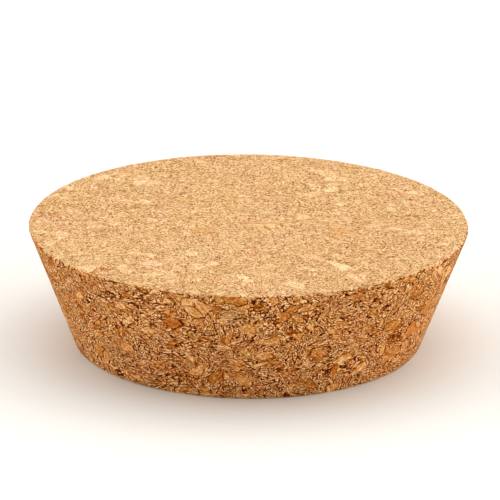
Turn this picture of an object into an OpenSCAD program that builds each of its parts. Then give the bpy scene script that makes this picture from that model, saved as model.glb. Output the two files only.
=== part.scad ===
// Wide tapered stopper of pressed cork, for the mouth of a storage jar.
//
// The real stopper is one piece: a disc sliced from a block of cork granules
// and ground to a cone, so it is one solid here as well. It stands on its
// narrow end, as it goes into the jar, with the wide end up. Grinding leaves
// both rims crisp, with only a fine rounding where the corners wore off.
//
// Millimetres. +Z runs up the cone's axis, and the origin is the centre of
// the narrow end.

/* [Body] */
// Diameter of the wide end, at the corner that the rounding takes off
wide_d = 90; // [75:1:150]
// Diameter of the narrow end, at the corner that the rounding takes off
narrow_d = 71; // [30:1:88]
// Thickness, from the narrow end to the wide end
height = 25; // [12:1:60]

/* [Rims] */
// Radius that rounds the rim of the wide end
wide_rim_r = 0.5; // [0.2:0.1:3]
// Radius that rounds the rim of the narrow end
narrow_rim_r = 0.7; // [0.2:0.1:3]

/* [Hidden] */
// Steps along the rounding of each rim
rim_steps = 8;
// Angle of the wall to the axis
taper = atan2((wide_d - narrow_d) / 2, height);

// Distance from the axis to the wall, at a height above the narrow end.
function wall_r(z) = narrow_d / 2 + z * tan(taper);

// Centre of the circle of radius r that touches the wall from inside, at height z.
function rim_centre(r, z) = [wall_r(z) - r / cos(taper), z];

// Points on the circle of radius r about a centre, from one angle to another.
function arc(centre, r, from, to) = [
    for (i = [0 : rim_steps])
        let (a = from + (to - from) * i / rim_steps)
            centre + r * [cos(a), sin(a)]
];

// Half of the stopper's section. Each rounding starts square to the end's
// face and runs out square to the wall, or the other way round.
module half_section() {
    narrow_rim = arc(rim_centre(narrow_rim_r, narrow_rim_r), narrow_rim_r, -90, -taper);
    wide_rim = arc(rim_centre(wide_rim_r, height - wide_rim_r), wide_rim_r, -taper, 90);
    polygon(concat([[0, 0]], narrow_rim, wide_rim, [[0, height]]));
}

module stopper() {
    color("burlywood") rotate_extrude($fn = 180) half_section();
}

stopper();
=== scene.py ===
import math

import bpy
from mathutils import Matrix, Vector
from mathutils import noise as fractal


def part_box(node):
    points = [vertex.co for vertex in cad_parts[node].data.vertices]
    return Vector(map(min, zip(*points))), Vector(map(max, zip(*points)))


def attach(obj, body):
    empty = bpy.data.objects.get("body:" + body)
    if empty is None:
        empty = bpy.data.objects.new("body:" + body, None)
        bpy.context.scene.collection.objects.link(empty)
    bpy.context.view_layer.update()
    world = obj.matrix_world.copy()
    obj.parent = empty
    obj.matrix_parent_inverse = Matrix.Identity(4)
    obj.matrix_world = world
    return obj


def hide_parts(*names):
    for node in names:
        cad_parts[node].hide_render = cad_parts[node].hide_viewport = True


MM = 0.001

# Camera
CAMERA_ELEVATION = math.radians(19.29)
CAMERA_ROLL = math.radians(0.49)
CAMERA_DISTANCE = 941 * MM
LENS_MM = 331.0
SENSOR_MM = 36.0
AIM_RIGHT = 0.37 * MM
AIM_UP = 6.06 * MM
NEAREST = 0.1
FARTHEST = 50.0

# Light: a soft box overhead, a warm glow from all round, more from the right, and daylight from both
# sides. The table's half width is in metres.
OVERHEAD_POWER = 1.85
OVERHEAD_WIDTH = math.radians(76)
OVERHEAD_TILT = math.radians(-18)
WARM_GLOW = (1.0, 0.88, 0.71, 1.0)
SIDE_DAYLIGHT = (1.02, 1.05, 1.04, 1.0)
GLOW_POWER = 0.55
GLOW_LEAN = 0.25
SIDE_POWER = 5.0
BACKDROP_POWER = 1.5
TABLE_HALF = 6.0
TABLE_WHITE = (0.785, 0.8, 0.81, 1.0)

# Stopper's ground shape in millimetres, as in part.scad, and the mesh's steps over it
WIDE_R = 45.0
NARROW_R = 35.5
WIDE_RIM_R = 0.5
NARROW_RIM_R = 0.7
STEP = 0.46
RIM_STEP = 0.22

# Wear of its surface in millimetres, and shares of granules that have dropped out
PACKING = 2.2
SHRINKAGE = 0.05
RAGGED = 0.25
RAGGED_RUN = 1.1
RIM_REACH = 1.0
END_SKIN = 0.2
PIT_SPACING = 2.6
PIT_SHIFT = Vector((4.3, 1.7, 8.2))
PIT_DEPTH = 0.3
PIT_REACH = 0.14
PIT_REACH_MORE = 0.16
WALL_PITS = 0.05
RIM_PITS = 0.2
END_PITS = 0.012

# Map that spreads the surface flat, in millimetres
WALL_RUN = 28.5
MAP_GAP = 1.0

# Granules in millimetres, how many times thinner than wide they are, and shares of them
LUMP = 5.6
FLAKE = 4.8
CHIP = 3.2
CRUMB = 2.1
FLAKE_FLATNESS = 1.9
CHIP_FLATNESS = 3.0
LAYER_FLATNESS = 4.0
WHOLE_SHARE = 0.2
CRUSHED_SHARE = 0.5
PRESSED = 1.35

# Shades from the dark binder to the palest flake, on the ground wall and on the sanded ends
# Partly painted light: the wall's shades are darker as painted shade and the ends' paler as painted light,
# besides the ground and sanded finishes.
WALL_TONES_PAINTED_DARKER = ((70, 14, 0), (107, 37, 0), (148, 73, 6), (182, 111, 44), (211, 151, 88), (243, 202, 150))
END_TONES_PAINTED_PALER = ((96, 42, 2), (150, 94, 36), (185, 139, 84), (208, 168, 121), (221, 183, 138), (238, 207, 168))

# Stains laid over the shades: rosy, clean, greenish, and a few rusty granules
STAINS = [
    (0.0, (0.96, 0.84, 0.86, 1)),
    (0.25, (1, 0.96, 0.97, 1)),
    (0.5, (1, 1, 1, 1)),
    (0.75, (0.97, 0.99, 0.92, 1)),
    (0.95, (0.95, 0.95, 0.82, 1)),
    (1.0, (1, 0.76, 0.54, 1)),
]
STAIN_STRENGTH = 0.8

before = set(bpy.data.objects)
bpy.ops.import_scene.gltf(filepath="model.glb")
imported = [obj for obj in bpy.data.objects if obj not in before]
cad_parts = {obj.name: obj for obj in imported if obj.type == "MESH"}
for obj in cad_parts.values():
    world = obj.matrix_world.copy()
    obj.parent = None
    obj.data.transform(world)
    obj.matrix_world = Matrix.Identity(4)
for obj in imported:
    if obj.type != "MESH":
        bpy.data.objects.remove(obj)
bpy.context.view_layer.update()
low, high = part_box("stopper")


# ---------------------------------------------------------------- node trees


class Value:
    """A node's output. Arithmetic on it adds Math nodes, or Vector Math nodes on vectors."""

    def __init__(self, socket):
        self.socket = socket
        self.tree = socket.id_data
        self.is_vector = socket.type in ("VECTOR", "RGBA")

    def other(self, name):
        """Another output of the same node."""
        return Value(self.socket.node.outputs[name])

    def parts(self):
        """The three parts of a vector or a colour."""
        split = add(self.tree, "ShaderNodeSeparateXYZ", {}, {0: self})
        return split, split.other("Y"), split.other("Z")

    def __add__(self, term):
        return sums("ADD", self, term)

    def __sub__(self, term):
        return sums("SUBTRACT", self, term)

    def __rsub__(self, term):
        return sums("SUBTRACT", term, self)

    def __mul__(self, term):
        return sums("MULTIPLY", self, term)

    def __truediv__(self, term):
        return sums("DIVIDE", self, term)

    def __lt__(self, term):
        return sums("LESS_THAN", self, term)

    __radd__ = __add__
    __rmul__ = __mul__


def add(tree, kind, settings, inputs, output=0):
    """Adds one node: its settings first, then its inputs, each a number, a colour or a Value."""
    node = tree.nodes.new(kind)
    for name, setting in settings.items():
        if name == "stops":
            set_stops(node.color_ramp, setting)
        else:
            setattr(node, name, setting)
    for name, term in inputs.items():
        socket = node.inputs[name]
        if isinstance(term, Value):
            tree.links.new(term.socket, socket)
        elif socket.type == "VECTOR" and isinstance(term, (int, float)):
            socket.default_value = (term, term, term)
        else:
            socket.default_value = term
    return Value(node.outputs[output])


def set_stops(ramp, stops):
    """Gives a ramp its stops, a list of (place, colour)."""
    while len(ramp.elements) < len(stops):
        ramp.elements.new(1.0)
    for element, (place, colour) in zip(ramp.elements, stops):
        element.position = place
        element.color = colour


def sums(operation, *terms):
    """One Math node, or one Vector Math node where a term is a vector."""
    values = [t for t in terms if isinstance(t, Value)]
    vectors = any(v.is_vector for v in values) or any(isinstance(t, tuple) for t in terms)
    kind = "ShaderNodeVectorMath" if vectors else "ShaderNodeMath"
    return add(values[0].tree, kind, {"operation": operation}, dict(enumerate(terms)))


def ramp(value, start, end):
    """0 where value is at start, 1 at end, and smooth between them."""
    inputs = {"Value": value, "From Min": start, "From Max": end}
    return add(value.tree, "ShaderNodeMapRange", {"interpolation_type": "SMOOTHSTEP"}, inputs)


def blend(factor, first, second):
    """first where factor is 0, second where it is 1: numbers."""
    inputs = {0: factor, 2: first, 3: second}
    return add(factor.tree, "ShaderNodeMix", {"data_type": "FLOAT"}, inputs)


def tint(factor, first, second, how="MIX"):
    """The colour first where factor is 0, and second laid over it where it is 1."""
    settings = {"data_type": "RGBA", "blend_type": how}
    tree = next(t.tree for t in (factor, first, second) if isinstance(t, Value))
    return add(tree, "ShaderNodeMix", settings, {0: factor, 6: first, 7: second}, output=2)


def noise(place, size, detail=2.0, roughness=0.5):
    """Soft noise from 0 to 1 whose waves are about size millimetres long."""
    inputs = {"Vector": place, "Scale": 1 / size, "Detail": detail, "Roughness": roughness}
    return add(place.tree, "ShaderNodeTexNoise", {}, inputs)


def add_output(tree, kind, shade):
    """Ends a tree with its output node."""
    tree.links.new(shade.socket, tree.nodes.new(kind).inputs["Surface"])


def colours_along(value, stops):
    """The colour that the stops, a list of (place, colour), give each value."""
    return add(value.tree, "ShaderNodeValToRGB", {"stops": stops}, {0: value})


def even_stops(shades):
    """Stops the same way apart for shades given as 0 to 255 on screen."""
    return [(i / (len(shades) - 1), srgb(*shade)) for i, shade in enumerate(shades)]


def srgb(red, green, blue):
    """A colour given as 0 to 255 on screen, as the linear colour that a shader takes."""
    def linear(part):
        share = part / 255
        return share / 12.92 if share <= 0.04045 else ((share + 0.055) / 1.055) ** 2.4
    return (linear(red), linear(green), linear(blue), 1.0)


# ---------------------------------------------------------------- camera, light and floor


def make_camera():
    """A long lens that looks a little down on the stopper."""
    camera = bpy.data.objects.new("camera", bpy.data.cameras.new("camera"))
    bpy.context.scene.collection.objects.link(camera)
    camera.data.lens = LENS_MM
    camera.data.sensor_width = SENSOR_MM
    camera.data.clip_start = NEAREST
    camera.data.clip_end = FARTHEST
    back = Vector((0, -math.cos(CAMERA_ELEVATION), math.sin(CAMERA_ELEVATION)))
    turn = (-back).to_track_quat("-Z", "Y").to_matrix() @ Matrix.Rotation(CAMERA_ROLL, 3, "Z")
    aim = (low + high) / 2 + turn @ Vector((AIM_RIGHT, AIM_UP, 0))
    camera.matrix_world = Matrix.Translation(aim + back * CAMERA_DISTANCE) @ turn.to_4x4()
    bpy.context.scene.camera = camera


def make_light():
    """A wide soft light overhead and a little behind, and a studio that glows from all round."""
    sun = bpy.data.lights.new("overhead_softbox", "SUN")
    sun.energy = OVERHEAD_POWER
    sun.angle = OVERHEAD_WIDTH
    lamp = bpy.data.objects.new("overhead_softbox", sun)
    lamp.rotation_euler = (OVERHEAD_TILT, 0, 0)
    bpy.context.scene.collection.objects.link(lamp)
    world = bpy.data.worlds.new("studio")
    bpy.context.scene.world = world
    world.use_nodes = True
    tree = world.node_tree
    tree.nodes.clear()
    seen = add(tree, "ShaderNodeLightPath", {}, {}, output="Is Camera Ray")
    across, _, up = add(tree, "ShaderNodeTexCoord", {}, {}, output="Generated").parts()
    sides = across * across * across * across * (1 - up) * SIDE_POWER
    glow = across * GLOW_LEAN + GLOW_POWER
    colour = tint(sides / (sides + glow), WARM_GLOW, SIDE_DAYLIGHT)
    power = blend(seen, sides + glow, BACKDROP_POWER)
    shade = add(tree, "ShaderNodeBackground", {}, {"Color": colour, "Strength": power})
    add_output(tree, "ShaderNodeOutputWorld", shade)
    bpy.context.scene.view_settings.view_transform = "Standard"


def make_floor():
    """A plain white table top."""
    mesh = bpy.data.meshes.new("floor")
    corners = [(x * TABLE_HALF, y * TABLE_HALF, 0) for x, y in ((-1, -1), (1, -1), (1, 1), (-1, 1))]
    mesh.from_pydata(corners, [], [(0, 1, 2, 3)])
    floor = bpy.data.objects.new("floor", mesh)
    bpy.context.scene.collection.objects.link(floor)
    paper = bpy.data.materials.new("white_paper")
    paper.use_nodes = True
    paper.node_tree.nodes.clear()
    shade = add(paper.node_tree, "ShaderNodeBsdfDiffuse", {}, {"Color": TABLE_WHITE})
    add_output(paper.node_tree, "ShaderNodeOutputMaterial", shade)
    mesh.materials.append(paper)


# ---------------------------------------------------------------- the stopper's shape


def steps_along(start, end, step):
    """Points from start up to, but without, end, about a step apart."""
    count = max(1, round(math.dist(start, end) / step))
    return [tuple(a + (b - a) * i / count for a, b in zip(start, end)) for i in range(count)]


def arc(x, z, radius, start, end, step):
    """Points round (x, z) from one angle up to, but without, the other."""
    count = max(2, round(radius * (end - start) / step))
    angles = [start + (end - start) * i / count for i in range(count)]
    return [(x + radius * math.cos(a), z + radius * math.sin(a)) for a in angles]


def section():
    """The profile from the narrow end's centre out, up the wall and in to the wide end's centre, as
    (radius, height, part), where part is the face that begins there."""
    height = (high.z - low.z) / MM
    taper = math.atan2(WIDE_R - NARROW_R, height)

    def rim_x(z, radius):
        return NARROW_R + z * math.tan(taper) - radius / math.cos(taper)

    narrow_c = rim_x(NARROW_RIM_R, NARROW_RIM_R)
    wide_z = height - WIDE_RIM_R
    wide_c = rim_x(wide_z, WIDE_RIM_R)
    narrow_rim = arc(narrow_c, NARROW_RIM_R, NARROW_RIM_R, -math.pi / 2, -taper, RIM_STEP)
    wide_rim = arc(wide_c, wide_z, WIDE_RIM_R, -taper, math.pi / 2, RIM_STEP)
    flat = STEP * math.sqrt(3) / 2
    narrow_end = steps_along((0.0, 0.0), narrow_rim[0], flat)
    foot = (narrow_c + NARROW_RIM_R * math.cos(taper), NARROW_RIM_R * (1 - math.sin(taper)))
    wall = steps_along(foot, wide_rim[0], flat)
    wide_end = steps_along((wide_c, height), (0.0, height), flat) + [(0.0, height)]
    parts = (("narrow_end", narrow_end), ("wall", narrow_rim + wall + wide_rim), ("wide_end", wide_end))
    return [(x, z, part) for part, points in parts for x, z in points]


def strip(inner, outer):
    """Triangles between two rings of vertices, whatever their counts."""
    faces = []
    i = j = 0
    while i < len(inner) or j < len(outer):
        if j == len(outer) or (i < len(inner) and (i + 0.5) * len(outer) <= (j + 0.5) * len(inner)):
            faces.append((inner[i], inner[(i + 1) % len(inner)], outer[j % len(outer)]))
            i += 1
        else:
            faces.append((inner[i % len(inner)], outer[(j + 1) % len(outer)], outer[j]))
            j += 1
    return [face for face in faces if len(set(face)) == 3]


def along_section(profile):
    """How far along the wall each point of the profile lies, from the narrow rim up."""
    runs, run = [], 0.0
    for here, before in zip(profile, [profile[0]] + profile):
        if before[2] == "wall":
            run += math.dist(here[:2], before[:2])
        runs.append(run)
    return runs


def turn_section(name, profile):
    """Turns the profile into a closed mesh of nearly even triangles, with its wear and its map."""
    rings, spots, faces, parts = [], [], [], []
    runs = along_section(profile)
    for (radius, height, _), run in zip(profile, runs):
        count = max(1, round(2 * math.pi * radius / STEP))
        rings.append(range(len(spots), len(spots) + count))
        spots += [(radius, 2 * math.pi * i / count, height, run) for i in range(count)]
    for inner, outer, (_, _, part) in zip(rings, rings[1:], profile):
        added = strip(inner, outer)
        faces += added
        parts += [part] * len(added)
    ground = [Vector((r * math.cos(a), r * math.sin(a), z)) for r, a, z, _ in spots]
    mesh = bpy.data.meshes.new(name)
    mesh.from_pydata([point * MM for point in ground], [], faces)
    wear_down(mesh, ground)
    lay_flat(mesh, spots, faces, parts)
    mesh.shade_smooth()
    return mesh


def lot_of(centre, stir):
    """A number from 0 to 1 that a granule draws by its centre. Another stir is another draw."""
    return abs(fractal.cell(centre * stir))


def pit_at(point, share):
    """How much of a dropped granule's pit lies at a point, 0 to 1, where share of them have dropped."""
    distances, centres = fractal.voronoi(point / PIT_SPACING + PIT_SHIFT)
    lot = lot_of(centres[0], 7.9)
    if lot >= share:
        return 0.0
    reach = PIT_REACH + PIT_REACH_MORE * lot / share
    return max(0.0, 1 - (distances[0] / reach) ** 2)


def wear_down(mesh, ground):
    """Sinks the surface where granules have shrunk or dropped out, and notes the pits so that the colours
    paint shade into them.
    """
    height = (high.z - low.z) / MM
    inward = [-normal.vector for normal in mesh.vertex_normals]
    pits = []
    for vertex, way, point in zip(mesh.vertices, inward, ground):
        _, centres = fractal.voronoi(point / PACKING)
        depth = SHRINKAGE * lot_of(centres[0], 9.7)
        wall = point.xy.length > NARROW_R - 1 and END_SKIN < point.z < height - END_SKIN
        rim = wall and min(abs(point.z), abs(height - point.z)) < RIM_REACH
        if rim:
            depth += RAGGED * max(0.0, fractal.noise(point / RAGGED_RUN))
        pits.append(pit_at(point, RIM_PITS if rim else WALL_PITS if wall else END_PITS))
        vertex.co += way * (depth + pits[-1] * PIT_DEPTH) * MM
    mesh.attributes.new("pits", "FLOAT", "POINT").data.foreach_set("value", pits)


def lay_flat(mesh, spots, faces, parts):
    """Maps both ends as discs and the wall as two long strips, on one square."""
    side = 2 * (WIDE_R + NARROW_R) + 3 * MAP_GAP
    centres = {
        "wide_end": (MAP_GAP + WIDE_R, MAP_GAP + WIDE_R),
        "narrow_end": (2 * MAP_GAP + 2 * WIDE_R + NARROW_R, MAP_GAP + NARROW_R),
    }
    flat = []
    for face, part in zip(faces, parts):
        angles = [spots[v][1] for v in face]
        if max(angles) - min(angles) > math.pi:
            angles = [a + 2 * math.pi if a < math.pi else a for a in angles]
        half = int(sum(angles) / 3 // math.pi) % 2
        for v, angle in zip(face, angles):
            radius, own_angle, _, run = spots[v]
            if part == "wall":
                across = 2 * MAP_GAP + (angle - half * math.pi) * (WIDE_R + NARROW_R) / 2
                up = 2 * MAP_GAP + 2 * WIDE_R + half * (WALL_RUN + MAP_GAP) + run
            else:
                across = centres[part][0] + radius * math.cos(own_angle)
                up = centres[part][1] + radius * math.sin(own_angle)
            flat += (across / side, up / side)
    mesh.uv_layers.new(name="OFBake").data.foreach_set("uv", flat)


# ---------------------------------------------------------------- pressed cork


def wander(place, size, amount):
    """The place swayed by up to amount, in waves of that size, so that straight seams bend."""
    sway = noise(place, size).other("Color") - 0.5
    return place + sway * (2 * amount)


def cells(place, size, feature="F1"):
    """A packing of cells about size millimetres across."""
    inputs = {"Vector": place, "Scale": 1 / size}
    return add(place.tree, "ShaderNodeTexVoronoi", {"feature": feature}, inputs)


def unit(vector):
    """The vector's direction."""
    return add(vector.tree, "ShaderNodeVectorMath", {"operation": "NORMALIZE"}, {0: vector})


def dot(first, second):
    """How far the first vector reaches along the second."""
    settings = {"operation": "DOT_PRODUCT"}
    return add(first.tree, "ShaderNodeVectorMath", settings, {0: first, 1: second}, output="Value")


class Granules:
    """Granules of one size, each with its own tone, stain and growth layers."""

    def __init__(self, place, size):
        self.place = place
        packed = cells(place, size)
        self.hue = packed.other("Color")
        self.pick, self.tone, self.stain = self.hue.parts()
        self.outward = unit(place - packed.other("Position"))
        self.seam = cells(place, size, "DISTANCE_TO_EDGE") * size
        self.along = unit(self.hue - 0.5)

    def plates(self, size, times, shift):
        """Thin plates that lie across each granule's own direction, times thinner than they are wide."""
        inner = Granules(self.combed(times) + shift, size)
        lean = sums("ABSOLUTE", dot(inner.outward, self.along))
        inner.seam = inner.seam / (lean * (times - 1) + 1)
        return inner

    def combed(self, times):
        """The place drawn out along each granule's direction."""
        return self.place + self.along * (dot(self.place, self.along) * (times - 1))


class Cork:
    """Pressed cork as a solid: which granule lies at each place, and how pale and deep it is there.
    The shifts keep the flakes, chips and crumbs from lining up."""

    def __init__(self, place):
        self.place = place
        self.wall = on_wall(place)
        swayed = wander(place * (1.0, 1.0, PRESSED), 2.6, 0.7)
        self.bent = wander(swayed, 0.6, 0.12)
        self.lumps = Granules(self.bent, LUMP)
        self.flakes = self.lumps.plates(FLAKE, FLAKE_FLATNESS, (5.2, 3.4, 1.1))
        self.chips = self.lumps.plates(CHIP, CHIP_FLATNESS, (7.3, 1.9, 4.1))
        self.crumbs = self.lumps.plates(CRUMB, CHIP_FLATNESS, (3.1, 8.7, 6.2))
        self.whole = self.flakes.pick < WHOLE_SHARE
        self.crushed = self.chips.pick < CRUSHED_SHARE
        # seams holds the binder lines, and below 0 the painted highlights beside them.
        self.seams = self.binder_seams_and_painted_highlights()

    def by_kind(self, flake, chip, crumb):
        """flake in whole flakes, chip in chips, and crumb where chips are crushed."""
        return blend(self.whole, blend(self.crushed, chip, crumb), flake)

    def binder_seams_and_painted_highlights(self):
        """The dark binder, near 1 in its lines, and below 0 beside them where a painted highlight lies
        along each edge.
        """
        lines = blend(self.crushed, ramp(self.chips.seam, 0.11, 0.05), ramp(self.crumbs.seam, 0.1, 0.04))
        # Painted highlight: a pale band along each side of the seams.
        painted_edge_highlights = blend(self.crushed, ramp(self.chips.seam, 0.25, 0.12), ramp(self.crumbs.seam, 0.23, 0.11))
        broken = ramp(noise(self.place, 0.5), blend(self.wall, 0.48, 0.32), blend(self.wall, 0.62, 0.48))
        small = (lines * 1.35 - painted_edge_highlights * 0.35) * broken
        return blend(self.whole, small, ramp(self.flakes.seam, 0.2, 0.08) * 0.5)

    def tone(self):
        """How pale the cork is, from 0 in the binder to 1 in the palest flakes."""
        grain = (noise(self.place, 0.3, 1.0, 0.7) - 0.5) * blend(self.wall, 1.4, 1.1)
        strands = ramp(noise(self.lumps.combed(CHIP_FLATNESS), 0.75, 1.0), 0.38, 0.62)
        fibre = (strands - 0.5) * blend(self.wall, 0.7, 1.0)
        layers = noise(self.flakes.combed(LAYER_FLATNESS), 2.6, 1.0) - 0.5
        flake = (self.flakes.tone - 0.5) * 0.3 + layers * 0.6 + fibre * 0.2 + grain * 0.6 + 0.7
        # The wall's base tone sits a little lower than the ends': part of the wall's painted shade.
        chip = (self.chips.tone - 0.5) * 0.16 + fibre * 0.45 + grain + blend(self.wall, 0.64, 0.605)
        crumb = (self.crumbs.tone - 0.5) * 0.2 + fibre * 0.6 + grain + blend(self.wall, 0.65, 0.615)
        sanded = self.whole * (1 - self.wall) * 0.08
        specks = ramp(noise(self.bent, 0.36, 1.0), 0.4, 0.34) * blend(self.wall, 0.9, 0.1)
        # Painted shade: the colour is darkened in the pits. The seams also carry the painted highlights
        # beside the binder lines.
        pits = add(self.place.tree, "ShaderNodeAttribute", {"attribute_name": "pits"}, {}, output="Fac")
        dark = self.seams * blend(self.wall, 0.56, 0.9) + specks + ramp(pits, 0.2, 0.8) * 0.3
        return self.by_kind(flake, chip, crumb) + sanded - dark

    def colour(self):
        """The colour of the wall or of the ends, with each granule's stain over it. The wall's shades are
        darker and browner partly for its ground finish and partly as painted shade; the ends' are paler
        partly as painted light.
        """
        tone = self.tone()
        wall_painted_darker = colours_along(tone, even_stops(WALL_TONES_PAINTED_DARKER))
        end_painted_paler = colours_along(tone, even_stops(END_TONES_PAINTED_PALER))
        mixed = self.chips.stain * 0.42 + self.lumps.stain * 0.5 + 0.04
        stains = colours_along(blend(self.whole, mixed, self.flakes.stain), STAINS)
        return tint(STAIN_STRENGTH, tint(self.wall, end_painted_paler, wall_painted_darker), stains, "MULTIPLY")

    def relief(self):
        """Fine heights in millimetres: granules stand a little apart and seams lie lower."""
        return self.by_kind(0.06, self.chips.tone * 0.1, self.crumbs.tone * 0.08) - self.seams * 0.1


def on_wall(place):
    """1 on the ground wall and 0 on the sanded ends, with an uneven border at each rim."""
    height = place.parts()[2] + (noise(place, 1.5) - 0.5) * 0.5
    top = high.z / MM
    return ramp(height, top - 0.1, top - 0.35) * ramp(height, 0.1, 0.4)


def pressed_cork():
    """Bonded cork granules, dull and dry, browner on the wall than on the ends: partly the finishes, partly
    painted shade on the wall and painted light on the ends.
    """
    cork = bpy.data.materials.new("pressed_cork")
    cork.use_nodes = True
    tree = cork.node_tree
    tree.nodes.clear()
    pattern = Cork(add(tree, "ShaderNodeTexCoord", {}, {}, output="Object") * (1 / MM))
    bumps = {"Strength": 0.4, "Distance": MM, "Height": pattern.relief()}
    shade = add(tree, "ShaderNodeBsdfPrincipled", {}, {
        "Base Color": pattern.colour(),
        "Roughness": 0.9,
        "Specular IOR Level": 0.03,
        "Normal": add(tree, "ShaderNodeBump", {}, bumps),
    })
    add_output(tree, "ShaderNodeOutputMaterial", shade)
    return cork


def make_stopper():
    """The stopper: one piece of pressed cork."""
    mesh = turn_section("stopper_cork", section())
    stopper = bpy.data.objects.new("stopper_cork", mesh)
    bpy.context.scene.collection.objects.link(stopper)
    mesh.materials.append(pressed_cork())
    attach(stopper, "root")
    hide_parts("stopper")


make_camera()
make_light()
make_floor()
make_stopper()
